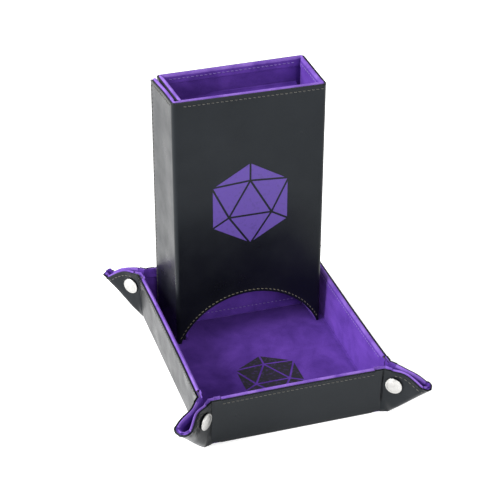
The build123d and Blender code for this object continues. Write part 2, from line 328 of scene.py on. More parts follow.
def velvet(name, deep, pale):
    """Short-pile velvet: brushed nap in soft streaks, sheen at grazing angles, fine fibres."""
    s = Shader(
        name,
        Sheen_Weight=0.55,
        Sheen_Roughness=0.42,
        Sheen_Tint=(0.42, 0.20, 1.0, 1.0),
        IOR=1.3,
        Specular_IOR_Level=0.1,
    )
    nap = s.noise(30.0, 5.0, 1.4, place=s.stretch(1.0, 0.7, 1.6))
    patches = s.noise(95.0, 3.0, 0.6)
    fibres = s.noise(2400.0, 2.0)
    streaks = s.mix(0.35, nap, patches)
    colour = s.ramp(streaks, (0.36, deep), (0.68, pale))
    dust = s.ramp(fibres, (0.35, (0.62, 0.6, 0.66)), (0.65, (1.0, 1.0, 1.0)))
    colour = s.mix(0.5, colour, dust, blend="MULTIPLY")
    pile = s.bump(fibres, 0.00016, 0.5)
    pile = s.bump(patches, 0.0005, 0.16, under=pile)
    rough = s.span(patches, 0.78, 0.95)
    return s.finish(Base_Color=colour, Roughness=rough, Normal=pile)


def thread(name, dark, light):
    """Waxed sewing thread with a visible twist."""
    s = Shader(name, Sheen_Weight=0.25, Roughness=0.55)
    wires = {"Vector": s.place, "Scale": 620.0, "Distortion": 1.2}
    twist = s.add("ShaderNodeTexWave", wires, bands_direction="DIAGONAL")
    colour = s.ramp(twist.outputs["Fac"], (0.2, dark), (0.8, light))
    return s.finish(Base_Color=colour, Normal=s.bump(twist.outputs["Fac"], 0.00008, 0.6))


def snap_metal():
    """Satin nickel with fine turned lines and small handling marks."""
    s = Shader("satin_nickel", Metallic=1.0, Anisotropic=0.35)
    colour = s.ramp(s.noise(320.0, 4.0), (0.3, (0.40, 0.395, 0.385)), (0.7, (0.50, 0.495, 0.48)))
    marks = s.noise(900.0, 5.0, 0.5, place=s.stretch(1.0, 1.0, 0.15))
    rough = s.span(marks, 0.22, 0.40)
    return s.finish(Base_Color=colour, Roughness=rough, Normal=s.bump(marks, 0.00003, 0.35))


def printed(name, ink, worn, grain_scale, roughness):
    """Ink printed on a surface: it takes the grain below it and is thinner in places."""
    s = Shader(name, IOR=1.45)
    wear = s.noise(420.0, 6.0)
    colour = s.ramp(wear, (0.34, worn), (0.46, ink))
    cells = s.add("ShaderNodeTexVoronoi", {"Vector": s.place, "Scale": grain_scale}, feature="SMOOTH_F1")
    rough = s.span(wear, roughness - 0.06, roughness + 0.08)
    grain = s.bump(cells.outputs["Distance"], 0.00011, 0.4)
    return s.finish(Base_Color=colour, Roughness=rough, Normal=grain)


def tape(name, dark, light, scale):
    """Hook or loop tape: woven ground with a dense field of small loops or hooks."""
    s = Shader(name, Sheen_Weight=0.4, Sheen_Roughness=0.5)
    wires = {"Vector": s.place, "Scale": scale}
    loops = s.add("ShaderNodeTexVoronoi", wires, feature="F1").outputs["Distance"]
    colour = s.ramp(loops, (0.15, light), (0.6, dark))
    rough = s.span(s.noise(400.0, 3.0), 0.7, 0.95)
    return s.finish(Base_Color=colour, Roughness=rough, Normal=s.bump(loops, 0.0006, 0.8))


def board():
    """Grey-brown stiffener board with pressed fibres."""
    s = Shader("stiffener_board")
    fibres = s.noise(700.0, 6.0, 0.8, place=s.stretch(1.0, 0.3, 1.0))
    colour = s.ramp(fibres, (0.3, (0.20, 0.16, 0.11)), (0.7, (0.36, 0.31, 0.24)))
    rough = s.span(s.noise(90.0, 3.0), 0.8, 0.95)
    return s.finish(Base_Color=colour, Roughness=rough, Normal=s.bump(fibres, 0.0001, 0.5))


LEATHER = leather()
VELVET = velvet("purple_velvet", (0.056, 0.021, 0.185), (0.115, 0.046, 0.330))
# a paler copy of the purple velvet for the rim rolls: painted highlight where they catch the light
PAINTED_HIGHLIGHT_VELVET = velvet("purple_velvet_painted_highlight", (0.095, 0.042, 0.27), (0.235, 0.135, 0.46))
LAMINATE = (LEATHER, VELVET, PAINTED_HIGHLIGHT_VELVET)
DARK_THREAD = thread("black_thread", (0.012, 0.012, 0.010), (0.075, 0.070, 0.052))
# the same black thread in a paler copy for the arch's stitches: painted highlight
ARCH_THREAD_PAINTED_HIGHLIGHT = thread("black_thread_painted_highlight", (0.045, 0.042, 0.027), (0.17, 0.15, 0.085))
PLUM_THREAD = thread("plum_thread", (0.07, 0.035, 0.19), (0.20, 0.12, 0.42))
METAL = snap_metal()
BOARD = board()


# ================================================================ rims and sections
def rim(thick):
    """Section over a rim as (depth, height) pairs, with each stretch's material (0 leather, 2 the roll in the
    paler velvet that paints its highlight).
    """
    bead = SKIN + 0.35 * MM
    pairs = [(0.24 * MM, -0.5 * MM), (0.0, 0.12 * MM), (-SKIN, 0.2 * MM), (-bead, -0.45 * MM)]
    # kind 2 is the roll, drawn in the paler velvet as a painted highlight
    kinds = [0, 0, 0, 2]
    for i in range(1, 10):
        t = i / 10
        pairs.append((-bead - (thick - bead) * t, -0.4 * MM + (ROLL + 0.4 * MM) * sin(pi * t) ** 0.75))
        kinds.append(2)
    pairs.append((-thick - 0.1 * MM, -0.9 * MM))
    kinds.append(1)
    return pairs, kinds


def hem(thick):
    """The turned-in velvet below a rim: it stands a little proud and ends in a small step."""
    depths = ((-0.26, -1.8), (-0.08, -3.0), (-0.34, -4.2), (-0.55, -5.7), (-0.02, -6.2))
    return [(-thick + extra * MM, height * MM) for extra, height in depths]


def panel_section(low, high, thick, levels=14):
    """Closed section of an upright panel from z low to z high: (depth, z) pairs and materials."""
    over, over_kinds = rim(thick)
    turned = hem(thick)
    first, last = low + 1.5 * MM, high - 1.5 * MM
    pairs = [(0.0, first + (last - first) * i / levels) for i in range(levels + 1)]
    kinds = [0] * (levels + 1)
    pairs += [(n, high + v) for n, v in over]
    kinds += over_kinds
    pairs += [(n, high + v) for n, v in turned]
    kinds += [1] * len(turned)
    inner_top, inner_low = high - HEM - 1.2 * MM, low + HEM + 1.2 * MM
    for i in range(levels + 1):
        pairs.append((-thick, inner_top + (inner_low - inner_top) * i / levels))
        kinds.append(1)
    pairs += [(n, low - v) for n, v in reversed(turned)]
    kinds += [1] * len(turned)
    pairs += [(n, low - v) for n, v in reversed(over)]
    kinds += [1] + list(reversed(over_kinds))[:-1]
    kinds[-3:] = [0, 0, 0]
    return pairs, kinds


# ================================================================ the tower
back_low, back_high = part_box("back_skin")
front_low, front_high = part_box("front_skin")
inner_low, inner_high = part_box("inner_flap_skin")
outer_low, outer_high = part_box("outer_flap_skin")

LEFT, RIGHT = front_low.x, front_high.x
FRONT, BACK = front_low.y, back_high.y
INNER_LEFT = back_low.x
Z_LOW, Z_HIGH = front_low.z, front_high.z
MIDDLE_X = (LEFT + RIGHT) / 2
ARCH_HALF = (RIGHT - LEFT) / 2 - ARCH_FOOT
ARCH_R = (ARCH_HALF**2 + ARCH_RISE**2) / (2 * ARCH_RISE)


def arch_height(x):
    """Lower edge of the front panel at x."""
    off = abs(x - MIDDLE_X)
    if off >= ARCH_HALF:
        return Z_LOW
    return Z_LOW + ARCH_RISE - ARCH_R + sqrt(ARCH_R**2 - off**2)


def clamp(x):
    return min(max(x, 0.0), 1.0)


def skew(point):
    """The soft tower stands a little out of square: its left side runs outwards to the back."""
    back = clamp((point.y - FRONT) / (BACK - FRONT))
    left = clamp((RIGHT - point.x) / (RIGHT - LEFT))
    high = clamp((point.z - Z_LOW) / (Z_HIGH - Z_LOW))
    across = TWIST_SIDE * (1 - left) * high - SIDE_SKEW * left
    turned = TWIST_BACK * (1 - 1.9 * left) * high
    inner = smooth((point.x - LEFT - WALL_T - 0.4 * MM) / (0.8 * MM)) * smooth((left - 0.6) / 0.3)
    pinch = RIM_PINCH * inner * smooth((point.z - Z_HIGH + 34 * MM) / (28 * MM))
    return point + Vector((across * back - pinch * smooth(back / 0.15), turned * back, 0))


def thickness(distance):
    """Thickness of the laminate at a distance from the nearest corner."""
    return CORNER_T + (WALL_T - CORNER_T) * smooth(distance / THIN_RUN)


def corner_stations(corner, into, out, count=8):
    """Stations round a plan corner of radius CORNER_R, from direction into to direction out."""
    centre = [corner[k] - (into[k] - out[k]) * CORNER_R for k in (0, 1)]
    stations = []
    for i in range(count + 1):
        turn = pi / 2 * i / count
        normal = (-out[0] * cos(turn) + into[0] * sin(turn), -out[1] * cos(turn) + into[1] * sin(turn))
        place = (centre[0] + normal[0] * CORNER_R, centre[1] + normal[1] * CORNER_R)
        stations.append((*place, *normal, CORNER_T))
    return stations


def near_corner(a, b, normal, thin_start=False, thin_end=False, step=9 * MM):
    """Flat stations with a few extra ones where the laminate thins."""
    length = hypot(b[0] - a[0], b[1] - a[1])
    unit = ((b[0] - a[0]) / length, (b[1] - a[1]) / length)
    tight = [0.0, 0.8 * MM, 1.7 * MM, 2.8 * MM, THIN_RUN]
    marks = []
    first = THIN_RUN if thin_start else 0.0
    last = length - THIN_RUN if thin_end else length
    if thin_start:
        marks += tight[:-1]
    count = max(1, ceil((last - first) / step))
    marks += [first + (last - first) * i / count for i in range(count + 1)]
    if thin_end:
        marks += [length - t for t in reversed(tight[:-1])]
    stations = []
    for done in marks:
        at_start = thickness(done) if thin_start else WALL_T
        at_end = thickness(length - done) if thin_end else WALL_T
        thick = min(at_start, at_end)
        stations.append((a[0] + unit[0] * done, a[1] + unit[1] * done, *normal, thick))
    return stations


def panel_columns(stations, low_at, high_at, uneven=0.12 * MM):
    """Columns of points for loft() from stations (x, y, normal x, normal y, thickness)."""
    columns, kinds = [], None
    for x, y, nx, ny, thick in stations:
        normal = Vector((nx, ny, 0))
        pairs, kinds = panel_section(low_at(x, y), high_at(x, y), thick)
        column = []
        for depth, z in pairs:
            point = Vector((x, y, z)) + normal * depth
            wave = ripple(point, 34 * MM, uneven) - uneven * 0.8
            column.append(skew(point + normal * wave))
        columns.append(column)
    return columns, kinds


END_STEPS = 5


def rounded_end(stations, at_start):
    """Stations that round off a free vertical edge over half the laminate's thickness."""
    x, y, nx, ny, thick = stations[0] if at_start else stations[-1]
    other = stations[1] if at_start else stations[-2]
    length = hypot(x - other[0], y - other[1])
    ux, uy = (x - other[0]) / length, (y - other[1]) / length
    half = thick / 2
    added = []
    for i in range(1, END_STEPS + 1):
        turn = pi / 2 * i / END_STEPS
        shrink = half * (1 - cos(turn))
        reach = half * sin(turn)
        place = (x + ux * reach - nx * shrink, y + uy * reach - ny * shrink)
        added.append((*place, nx, ny, max(thick - 2 * shrink, 0.3 * MM)))
    return list(reversed(added)) + stations if at_start else stations + added


def panel_path(stations, z, inside=False):
    """Path of a stitch row along a panel, on its leather face or on its velvet face."""
    path = []
    for x, y, nx, ny, thick in stations:
        normal = Vector((nx, ny, 0))
        depth = -thick - 0.26 * MM if inside else -0.1 * MM
        point = skew(Vector((x, y, z)) + normal * depth)
        path.append((point, -normal if inside else normal))
    return path


def sew(name, paths, material, body):
    """One object that holds a row of stitches along each path and rides on a body."""
    bm = bmesh.new()
    for path in paths:
        thread_row(bm, path)
    piece = finish_mesh(name, bm, (material,), sharp=80)
    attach(piece, body)


def tower_body():
    """Inner flap, back and right side in one bent laminate, which stays together."""
    inset = CORNER_R
    end = FRONT + WALL_T + 4 * MM
    flap_end = (INNER_LEFT, inner_low.y + WALL_T / 2)
    stations = near_corner(flap_end, (INNER_LEFT, BACK - inset), (-1, 0), thin_end=True)
    stations = rounded_end(stations, at_start=True)
    stations += corner_stations((INNER_LEFT, BACK), (0, 1), (1, 0))[1:]
    stations += near_corner((INNER_LEFT + inset, BACK), (RIGHT - inset, BACK), (0, 1), True, True)[1:]
    stations += corner_stations((RIGHT, BACK), (1, 0), (0, -1))[1:]
    stations += near_corner((RIGHT, BACK - inset), (RIGHT, end), (1, 0), thin_start=True)[1:]
    columns, kinds = panel_columns(stations, lambda x, y: Z_LOW, lambda x, y: Z_HIGH)
    piece = loft("tower_body_laminate", columns, kinds, LAMINATE)
    names = [f"{panel}_{layer}" for panel in ("back", "right", "inner_flap") for layer in ("skin", "lining")]
    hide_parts(*names)
    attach(piece, "tower")
    sewn = stations[END_STEPS + 1:]
    heights = (Z_HIGH - STITCH_IN, Z_LOW + STITCH_IN)
    paths = [panel_path(sewn, z) for z in heights]
    sew("tower_body_stitches", paths, DARK_THREAD, "tower")
    flat = [s for s in sewn if s[4] >= WALL_T - 0.01 * MM]
    panels = ([s for s in flat if s[2] < 0], [s for s in flat if s[3] > 0], [s for s in flat if s[2] > 0])
    paths = [panel_path(panel, z, inside=True) for panel in panels for z in heights]
    sew("tower_lining_stitches", paths, PLUM_THREAD, "tower")


def front_panel():
    """The front with its arch, from the hinge corner on the right to just before the left one."""
    inset = CORNER_R
    start = FRONT + WALL_T + 4 * MM
    stations = near_corner((RIGHT, start), (RIGHT, FRONT + inset), (1, 0), thin_end=True, step=4 * MM)
    stations += corner_stations((RIGHT, FRONT), (0, -1), (-1, 0))[1:]
    low_arch = []
    steps = 44
    top_turn = asin(ARCH_HALF / ARCH_R)
    for i in range(steps + 1):
        low_arch.append(MIDDLE_X + ARCH_R * sin(top_turn * (1 - 2 * i / steps)))
    flat = []
    for x in [RIGHT - inset] + low_arch:
        if x > LEFT + FLAP_SEAM:
            flat.append((x, FRONT, 0, -1, thickness(RIGHT - inset - x)))
    stations += flat[1:]
    stations.append((LEFT + FLAP_SEAM, FRONT, 0, -1, WALL_T))
    low_at = lambda x, y: arch_height(x) if y < FRONT + 0.5 * MM else Z_LOW
    columns, kinds = panel_columns(stations, low_at, lambda x, y: Z_HIGH, uneven=FRONT_UNEVEN)
    piece = loft("front_laminate", columns, kinds, LAMINATE)
    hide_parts("front_skin", "front_lining")
    start, end = (RIGHT, FRONT + 4.5 * MM, 0.1), (RIGHT - 3.5 * MM, FRONT, 0.1)
    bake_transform(piece)
    across = [s for s in stations if s[3] < -0.99]
    arch_path = []
    for i in range(61):
        turn = top_turn * (1 - 2 * i / 60) * 0.985
        radius = ARCH_R + 1.9 * MM
        x = MIDDLE_X + radius * sin(turn)
        z = Z_LOW + ARCH_RISE - ARCH_R + radius * cos(turn)
        if x < RIGHT - 1.0 * MM and x > LEFT + 1.0 * MM and z > Z_LOW + 2 * MM:
            arch_path.append((Vector((x, FRONT + 0.14 * MM, z)), Vector((0, -1, 0))))
    sew("front_stitches", [panel_path(across, Z_HIGH - STITCH_IN)], DARK_THREAD, "front")
    # the arch's stitches use the paler copy of the black thread: painted highlight
    sew("arch_stitches", [arch_path], ARCH_THREAD_PAINTED_HIGHLIGHT, "front")
    inside_flat = [s for s in across if s[4] >= WALL_T - 0.01 * MM]
    path = panel_path(inside_flat, Z_HIGH - STITCH_IN, inside=True)
    sew("front_lining_stitches", [path], PLUM_THREAD, "front")


def outer_flap():
    """The flap round the left side, with the crease that joins it to the front."""
    inset = CORNER_R
    end = outer_high.y + 0.8 * MM - WALL_T / 2
    near = [inset + (FLAP_SEAM - inset) * (1 - i / 5) for i in range(6)]
    stations = [(LEFT + x, FRONT, 0, -1, thickness(x - inset)) for x in near]
    stations += corner_stations((LEFT, FRONT), (-1, 0), (0, 1))[1:]
    stations += near_corner((LEFT, FRONT + inset), (LEFT, end), (-1, 0), thin_start=True, step=5 * MM)[1:]
    fine_end = [(LEFT, end - d * MM, -1, 0, WALL_T) for d in (3.0, 2.0, 1.0)]
    stations = stations[:-1] + fine_end + stations[-1:]
    flared = []
    for x, y, nx, ny, thick in stations:
        flare = FLAP_FLARE * smooth((y - FRONT - 20 * MM) / (end - FRONT - 20 * MM))
        flared.append((x - flare, y, nx, ny, thick))
    stations = rounded_end(flared, at_start=False)

    def short(y):
        left = outer_high.y + 0.8 * MM - y
        if left >= FLAP_CORNER_R:
            return 0.0
        return FLAP_CORNER_R - sqrt(max(FLAP_CORNER_R**2 - (FLAP_CORNER_R - left) ** 2, 0.0))

    low_at = lambda x, y: (arch_height(x) if y < FRONT + 0.5 * MM else Z_LOW) + short(y)
    high_at = lambda x, y: Z_HIGH - short(y)
    columns, kinds = panel_columns(stations, low_at, high_at, uneven=FRONT_UNEVEN)
    piece = loft("outer_flap_laminate", columns, kinds, LAMINATE)
    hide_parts("outer_flap_skin", "outer_flap_lining")
    start, end = (LEFT + 3.5 * MM, FRONT, 0.1), (LEFT, FRONT + 4.5 * MM, 0.1)
    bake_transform(piece)
    first, last = FRONT + 4 * MM, outer_high.y - STITCH_IN
    side = [s for s in stations if s[0] < LEFT + 0.2 * MM and first < s[1] < last]
    edge = Vector((LEFT - FLAP_FLARE * 0.93, outer_high.y - STITCH_IN, 0))
    heights = [Z_LOW + STITCH_IN + (Z_HIGH - Z_LOW - 2 * STITCH_IN) * i / 12 for i in range(13)]
    rear = [(skew(edge + UP * z), Vector((-1, 0, 0))) for z in heights]
    paths = [panel_path(side, Z_HIGH - STITCH_IN), panel_path(side, Z_LOW + STITCH_IN), rear]
    sew("outer_flap_stitches", paths, DARK_THREAD, "outer_flap")


def skewed_board(panel, body):
    """The stiffener inside a tower panel, out of square like the panel round it."""
    low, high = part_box(f"{panel}_board")
    size = high - low
    thin = 0 if size.x < size.y else 1
    wide = 1 - thin
    across, up = 8, 16
    bm = bmesh.new()
    rows = []
    for face in (0, 1):
        grid = []
        for i in range(across + 1):
            row = []
            for j in range(up + 1):
                point = Vector((0, 0, low.z + size.z * j / up))
                point[wide] = low[wide] + size[wide] * i / across
                point[thin] = low[thin] + size[thin] * face
                inward = 0.12 * MM if face else -0.12 * MM
                point[thin] -= inward + ripple(point, 40 * MM, 0.08 * MM)
                row.append(bm.verts.new(skew(point)))
            grid.append(row)
        rows.append(grid)
    for grid in rows:
        add_grid(bm, grid)
    add_border(bm, *rows, border(across, up))
    piece = finish_mesh(f"{panel}_board_visual", bm, (BOARD,))
    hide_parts(f"{panel}_board")
    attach(piece, body)


# ================================================================ the tray's walls
base_low, base_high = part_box("tray_base_skin")
HALF_W, HALF_L = base_high.x + FOLD, base_high.y + FOLD
FLOOR_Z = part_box("tray_base_lining")[1].z
FR_LEAF = JOINTS["fr_end_leaf_fold"]
LEAF_UP = Vector(FR_LEAF["axis"]).normalized()
CREASE = Vector(FR_LEAF["pos_m"])
SPLAY = asin(-LEAF_UP.y)
WALL_OUT = Vector((0, -cos(SPLAY), -sin(SPLAY)))
WALL_TOP = (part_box("wall_front_skin")[1].z - FOLD + FOLD * sin(SPLAY)) / cos(SPLAY) - 0.5 * MM
LEAF_INSET = HALF_W - CREASE.x
OVERLAP = 7.0 * MM          # a corner piece starts this far before the crease on the wall
DIAGONAL_OUT = Vector((1, -1, 0)).normalized()
DIAGONAL_SIDE = Vector((-1, -1, 0)).normalized()
BASE_CORNER = Vector((HALF_W, -HALF_L, 0))


def leaf_turn():
    """Angle between a wall and its leaf at rest, from the leaf's pinned diagonal."""
    low, high = 0.0, 1.0
    for _ in range(50):
        middle = (low + high) / 2
        if cos(middle) > sin(SPLAY) + sin(middle) * cos(SPLAY):
            low = middle
        else:
            high = middle
    return low


TURN = leaf_turn()


def wall_point(along, height, depth):
    """A point of the front wall: along the wall, up it, and depth out of its leather face."""
    return Vector((along, CREASE.y, CREASE.z)) + LEAF_UP * height + WALL_OUT * (FOLD + depth)


def wall_section(along):
    """Open section of the front wall at one place: under the base, up, over the rim and down."""
    over, over_kinds = rim(WALL_T)
    points, kinds = [], []
    outward = Vector((0, -1, 0))
    origin = Vector((along, -HALF_L, 0))
    for reach, z in ((LIP + BASE_R, 0.3 * MM), (LIP * 0.7 + BASE_R, 0.0), (BASE_R, 0.0)):
        points.append(origin - outward * reach + UP * z)
        kinds.append(0)
    for i in range(1, 5):
        turn = (pi / 2 - SPLAY) * i / 5
        points.append(origin - outward * BASE_R * (1 - sin(turn)) + UP * BASE_R * (1 - cos(turn)))
        kinds.append(0)
    for i in range(9):
        height = 1.4 * MM + (WALL_TOP - 2.2 * MM) * i / 8
        points.append(wall_point(along, height, 0))
        kinds.append(0)
    points += [wall_point(along, WALL_TOP + v, n) for n, v in over]
    kinds += over_kinds
    turned = hem(WALL_T)
    points += [wall_point(along, WALL_TOP + v, n) for n, v in turned]
    kinds += [1] * len(turned)
    top, low = WALL_TOP - HEM - 1.2 * MM, FLOOR_Z - 0.6 * MM
    for i in range(7):
        points.append(wall_point(along, top + (low - top) * i / 6, -WALL_T))
        kinds.append(1)
    inner = points[-1]
    for reach, drop in ((1.0, 0.25), (LIP / MM, 0.45)):
        points.append(inner - outward * reach * MM - UP * drop * MM)
        kinds.append(1)
    return points, kinds


def wavy(points, share):
    """Lets the front wall sag inwards and be a little uneven, in full where share is 1."""
    moved = []
    for point in points:
        inward = WALL_BOW * smooth(point.z / WALL_TOP) - ripple(point, 30 * MM, WALL_WAVE)
        moved.append(point + Vector((0, inward * share, 0)))
    return moved


def along_share(i, steps):
    """How far a place is from the wall's ends: 0 there and 1 in the middle."""
    return sin(pi * i / steps) ** 0.8


def place_wall(points, side):
    """Turns points built on the front wall to the wall on that side."""
    if side == "front":
        return points
    if side == "back":
        return [Vector((-p.x, -p.y, p.z)) for p in points]
    shift = HALF_L - HALF_W
    if side == "right":
        return [Vector((-p.y - shift, p.x, p.z)) for p in points]
    return [Vector((p.y + shift, -p.x, p.z)) for p in points]


def wall_stitch_path(reach, height, inside=False):
    """Path of a stitch row along the front wall between plus and minus reach."""
    depth = -WALL_T - 0.1 * MM if inside else -0.05 * MM
    normal = -WALL_OUT if inside else WALL_OUT
    steps = 24
    path = []
    for i in range(steps + 1):
        point = wall_point(-reach + 2 * reach * i / steps, height, depth)
        path.append((wavy([point], along_share(i, steps))[0], normal))
    return path


def turn_path(path, side):
    points = place_wall([p for p, _ in path], side)
    tips = place_wall([p + n for p, n in path], side)
    return [(p, (t - p).normalized()) for p, t in zip(points, tips)]


def tray_wall(side):
    """One straight wall: leather from under the base, over the rim, and velvet down to the floor."""
    half = HALF_W if side in ("front", "back") else HALF_L
    reach = half - LEAF_INSET - OVERLAP
    steps = 22
    columns, kinds = [], None
    for i in range(steps + 1):
        points, kinds = wall_section(-reach + 2 * reach * i / steps)
        columns.append(place_wall(wavy(points, along_share(i, steps)), side))
    piece = loft(f"wall_{side}_laminate", columns, kinds, LAMINATE, closed=False, caps=False)
    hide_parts(f"wall_{side}_skin", f"wall_{side}_lining")
    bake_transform(piece)
    outside = turn_path(wall_stitch_path(reach, WALL_TOP - STITCH_IN), side)
    sew(f"wall_{side}_stitches", [outside], DARK_THREAD, f"wall_{side}")
    inside = turn_path(wall_stitch_path(reach - 4 * MM, WALL_TOP - STITCH_IN, inside=True), side)
    sew(f"wall_{side}_lining_stitches", [inside], PLUM_THREAD, f"wall_{side}")


# ================================================================ the pinched corners
BEND_LOW, BEND_HIGH = 1.8 * MM, 5.0 * MM   # a wall turns tightly low down and softly at the rim
SNAP_U, SNAP_V = 7.5 * MM, 26.0 * MM
NEAR = LEAF_INSET * (1 - cos(TURN) + cos(SPLAY) * sin(TURN)) / sqrt(2) + FOLD   # leaf to diagonal


@dataclass
class Corner:
    """How one corner's sheet hangs: all four were pinched by hand and differ a little."""
    tip_r: float      # rounded corner of the sheet
    droop: float      # how far the top of the tip hangs down
    lift: float       # how far its fold is pushed up
    spread: float     # how far the loop at the tip opens
    tuck: float       # how far the tip is pushed back


CORNERS = {
    "fr": Corner(33 * MM, 1.2 * MM, 1.4 * MM, 1.2 * MM, 0.0),
    "fl": Corner(31 * MM, -1.2 * MM, 2.6 * MM, 2.6 * MM, 0.0),
    "br": Corner(37 * MM, 4.5 * MM, 0.0, 0.0, 6.0 * MM),
    "bl": Corner(30 * MM, 5.5 * MM, 0.4 * MM, 1.4 * MM, 0.0),
}


def bend_table(steps=60):
    """The bent sheet for a bend that runs from -1 to 1: where it is along the wall and out of it."""
    x, y = -1.0, 0.0
    table = [(x, y)]
    for i in range(steps):
        turn = TURN * smooth((i + 0.5) / steps)
        x += cos(turn) * 2 / steps
        y += sin(turn) * 2 / steps
        table.append((x, y))
    return table


BENT = bend_table()


def sheet_point(u, v, shape):
    """The corner sheet's leather face at u past the crease and v up, before it is pinched."""
    bend = BEND_LOW + (BEND_HIGH - BEND_LOW) * smooth((v - 20 * MM) / (14 * MM))
    if u <= -bend:
        x, y, turn = u, 0.0, 0.0
    elif u >= bend:
        x, y = BENT[-1]
        x, y, turn = x * bend + (u - bend) * cos(TURN), y * bend + (u - bend) * sin(TURN), TURN
    else:
        place = (u / bend + 1) / 2 * (len(BENT) - 1)
        i = min(int(place), len(BENT) - 2)
        t = place - i
        x = (BENT[i][0] * (1 - t) + BENT[i + 1][0] * t) * bend
        y = (BENT[i][1] * (1 - t) + BENT[i + 1][1] * t) * bend
        turn = TURN * smooth(place / (len(BENT) - 1))
    normal = WALL_OUT * cos(turn) - Vector((1, 0, 0)) * sin(turn)
    point = CREASE + Vector((x, 0, 0)) + WALL_OUT * y + LEAF_UP * v + normal * FOLD
    across = max(v - (u - LEAF_INSET), 0.0)
    fold = 1 - smooth(across / (13 * MM))
    moved = UP * (shape.lift * fold - shape.droop * (1 - fold)) - DIAGONAL_OUT * shape.tuck
    return point + moved * smooth((u - 6 * MM) / (28 * MM))


def pinched(u, v, shape):
    """The corner sheet's leather face: folded on the diagonal, held by the snap, open at the tip."""
    point = sheet_point(u, v, shape)
    past = u - LEAF_INSET
    across = max((v - past) / sqrt(2), 0.0)
    along = (past + v) / sqrt(2)
    tight = 0.4 + 0.6 * smooth((along + 1 * MM) / (9 * MM))
    loop = shape.spread * smooth((along - 21 * MM) / (14 * MM))
    fold_r = NEAR * tight + loop
    if across < fold_r:
        wanted = fold_r * sqrt(1 - (1 - across / fold_r) ** 2)
    else:
        beyond = across - fold_r
        wanted = NEAR + (fold_r - NEAR) * exp(-((beyond / (9 * MM)) ** 2)) + 0.07 * beyond
    neck = exp(-(((past - 8 * MM) / (6 * MM)) ** 2)) * smooth((v - 22 * MM) / (14 * MM))
    wanted -= 1.1 * MM * neck
    now = (point - BASE_CORNER).dot(DIAGONAL_SIDE)
    point = point + DIAGONAL_SIDE * (wanted - now) * smooth(u / (4 * MM))
    ring = hypot(u - SNAP_U, v - SNAP_V)
    dent = 0.45 * MM * exp(-(((ring - 6.9 * MM) / (1.5 * MM)) ** 2))
    crease = 0.85 * MM * exp(-(((u + 0.3 * MM) / (0.9 * MM)) ** 2)) * smooth(v / (10 * MM))
    wave = ripple(point, 16 * MM, 0.22 * MM) * smooth((across - 1 * MM) / (4 * MM)) * smooth(u / (5 * MM))
    return point - WALL_OUT * crease - DIAGONAL_SIDE * (dent * smooth(u / (4 * MM)) + wave)


def sheet_normal(u, v, shape):
    """Outward normal of the pinched sheet, by small steps."""
    step = 0.12 * MM
    low_v = max(v, max(u - LEAF_INSET, 0.0) + step * 1.6)
    du = pinched(u + step, low_v, shape) - pinched(u - step, low_v, shape)
    dv = pinched(u, low_v + step, shape) - pinched(u, low_v - step, shape)
    return du.cross(dv).normalized()


def rim_place(t, tip_r, inset=0.0):
    """(u, v) on the leaf's rim, or inset from it: along the top, then round to the diagonal."""
    flat = WALL_TOP - tip_r
    radius = tip_r - inset
    done = t * (flat + radius * pi / 4)
    if done <= flat:
        return LEAF_INSET + done, WALL_TOP - inset
    turn = (done - flat) / radius
    return LEAF_INSET + flat + radius * sin(turn), flat + radius * cos(turn)


LEAF_SHARES = (0.0, 0.03, 0.07, 0.12, 0.18, 0.25, 0.33, 0.42, 0.51, 0.6, 0.69, 0.78, 0.87, 0.94)


def leaf_ends(u_wall, t, shape):
    """Foot and top (u, v) of one column of a leaf, its thickness and its share of the lip."""
    if t is None:
        thick = LEAF_T + (WALL_T - LEAF_T) * smooth((LEAF_INSET - u_wall) / (9 * MM))
        lip = smooth((LEAF_INSET - u_wall) / (8 * MM))
        return (u_wall, 0.0), (u_wall, WALL_TOP), thick, lip
    tip = WALL_TOP - shape.tip_r * (1 - 1 / sqrt(2))
    return (LEAF_INSET + tip * t, tip * t), rim_place(t, shape.tip_r), LEAF_T, 0.0


def between(low, top, share):
    """(u, v) at a share of the way from low to top."""
    return low[0] + (top[0] - low[0]) * share, low[1] + (top[1] - low[1]) * share


def lip_way(lip):
    """Direction in which the edge of a column runs on over the base."""
    return (Vector((0, 1, 0)) * lip - DIAGONAL_OUT * (1 - lip)).normalized()


def leaf_leather(low, top, lip, on_wall, shape):
    """The leather face of one column of a leaf, from under the base to below the rim."""
    corner = pinched(*low, shape)
    points = [corner] * 3
    if on_wall:
        ground = [Vector((corner.x, corner.y, z * MM)) for z in (0.3, 0.0, 0.0)]
        reaches = (LIP + BASE_R, LIP * 0.7 + BASE_R, BASE_R)
        points = [g + lip_way(lip) * reach * lip for g, reach in zip(ground, reaches)]
    for share in LEAF_SHARES:
        u, v = between(low, top, share)
        point = pinched(u, v, shape)
        if on_wall:
            under = max(0.0, 1 - v / BASE_R)
            point = point + Vector((0, 1, 0)) * BASE_R * (1 - sqrt(1 - under**2)) * lip
            point.z = max(point.z, 0.0)
        points.append(point)
    return points


def leaf_rim(top, t, thick, shape):
    """The roll over the rim of one column of a leaf, and its kinds."""
    edge = pinched(*top, shape)
    out = sheet_normal(*top, shape)
    if t is None:
        step = 0.2 * MM
        before, after = (top[0] - step, top[1]), (top[0] + step, top[1])
    else:
        before = rim_place(max(t - 0.01, 0.0), shape.tip_r)
        after = rim_place(min(t + 0.01, 1.0), shape.tip_r)
    before, after = pinched(*before, shape), pinched(*after, shape)
    rise = out.cross(after - before).normalized() * -1
    if rise.z < 0 and t is not None and t < 0.8:
        rise = -rise
    over, over_kinds = rim(thick)
    return [edge + out * n + rise * v for n, v in over], over_kinds


